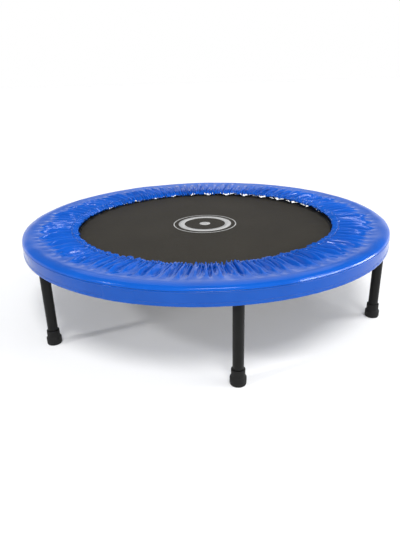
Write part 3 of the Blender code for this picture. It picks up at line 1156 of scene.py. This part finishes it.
def make_stage():
    """A plain pale floor that also glows faintly, so that shadows stay light."""
    bpy.ops.mesh.primitive_plane_add(size=FLOOR_SIZE, location=(0.0, 0.0, -0.0002))
    floor = bpy.context.active_object
    floor.name = "studio_floor"
    made = Nodes("studio_floor", (0.85, 0.85, 0.85), 0.90)
    made.set("Specular IOR Level", 0.1)
    made.set("Emission Color", (1.0, 1.0, 1.0, 1.0))
    made.set("Emission Strength", 0.12)
    made.color(made.noise(3.0, 3.0), (0.83, 0.83, 0.83), (0.87, 0.87, 0.87))
    floor.data.materials.append(made.material)


def sun_light(name, azimuth, elevation, spread, strength):
    """A soft light far away, so that the whole floor is lit alike. Angles in degrees."""
    data = bpy.data.lights.new(name, "SUN")
    data.energy = strength
    data.angle = math.radians(spread)
    light = bpy.data.objects.new(name, data)
    turn, rise = math.radians(azimuth), math.radians(elevation)
    flat = math.cos(rise)
    towards = Vector((flat * math.cos(turn), flat * math.sin(turn), math.sin(rise)))
    light.rotation_euler = towards.to_track_quat("Z", "Y").to_euler()
    bpy.context.scene.collection.objects.link(light)


def strip_light(name, place, size, power, tilt):
    """A long, low window seen as a thin line along the crease."""
    data = bpy.data.lights.new(name, "AREA")
    data.shape = "RECTANGLE"
    data.size, data.size_y = size
    data.energy = power
    light = bpy.data.objects.new(name, data)
    light.location = place
    towards = Vector((0.0, 0.0, COVER_RADIUS / 2)) - Vector(place)
    tilted = Matrix.Rotation(math.radians(tilt), 3, "Z")
    light.rotation_euler = (towards.to_track_quat("-Z", "Y").to_matrix() @ tilted).to_euler()
    bpy.context.scene.collection.objects.link(light)


def ramp(tree, value, low, high):
    """Output of a node that goes smoothly from 0 at low to 1 at high."""
    made = tree.nodes.new("ShaderNodeMapRange")
    made.interpolation_type = "SMOOTHSTEP"
    made.inputs["From Min"].default_value = low
    made.inputs["From Max"].default_value = high
    tree.links.new(value, made.inputs["Value"])
    return made.outputs["Result"]


def make_lights():
    """A pale room with white walls and a grey ceiling, dimmer behind, and the windows' soft lights."""
    world = bpy.data.worlds.new("studio")
    world.use_nodes = True
    tree = world.node_tree
    background = tree.nodes["Background"]
    background.inputs["Strength"].default_value = 1.0
    where = tree.nodes.new("ShaderNodeTexCoord")
    split = tree.nodes.new("ShaderNodeSeparateXYZ")
    tree.links.new(where.outputs["Generated"], split.inputs[0])
    across = ramp(tree, split.outputs["Y"], -0.5, 0.5)
    ceiling = mixed_colors(tree, across, (0.35, 0.36, 0.38), (0.18, 0.19, 0.21))
    upward = ramp(tree, split.outputs["Z"], 0.14, 0.36)
    walls = mixed_colors(tree, upward, (1.0, 1.0, 1.0), ceiling)
    tree.links.new(walls, background.inputs["Color"])
    bpy.context.scene.world = world
    sun_light("window_front", -90.0, 62.0, 24.0, 1.9)
    sun_light("window_right", -5.0, 50.0, 16.0, 0.4)
    sun_light("window_left", 197.0, 36.0, 6.0, 0.8)
    sun_light("softbox_back", 82.0, 40.0, 45.0, 0.3)
    strip_light("strip_right", (3.70, -1.23, 1.22), (4.24, 0.30), 92.0, -18.0)


def make_camera():
    """The camera of the photograph's view."""
    data = bpy.data.cameras.new("camera")
    data.lens = CAMERA_LENS
    data.sensor_width = 36.0
    data.sensor_fit = "AUTO"
    camera = bpy.data.objects.new("camera", data)
    x = CAMERA_DISTANCE * math.cos(CAMERA_AZIMUTH)
    y = CAMERA_DISTANCE * math.sin(CAMERA_AZIMUTH)
    place = Vector((x, y, CAMERA_HEIGHT))
    heading = Matrix.Rotation(CAMERA_AZIMUTH + math.pi / 2 + CAMERA_PAN, 4, "Z")
    tilt = Matrix.Rotation(math.pi / 2 - CAMERA_TILT, 4, "X")
    roll = Matrix.Rotation(CAMERA_ROLL, 4, "Z")
    camera.matrix_world = Matrix.Translation(place) @ heading @ tilt @ roll
    bpy.context.scene.collection.objects.link(camera)
    bpy.context.scene.camera = camera


def main():
    bpy.context.scene.view_settings.view_transform = "Standard"
    make_camera()
    make_stage()
    make_lights()
    make_cover_top()
    make_skirt()
    make_foam()
    for number in range(1, SPRING_COUNT + 1):
        make_spring(number)
    make_mat_rings()
    make_mat()
    make_hem()
    make_mat_threads()
    make_print()
    make_hoop()
    for number in range(1, LEG_COUNT + 1):
        make_stud(number)
        make_leg(number)
        make_foot(number)


main()
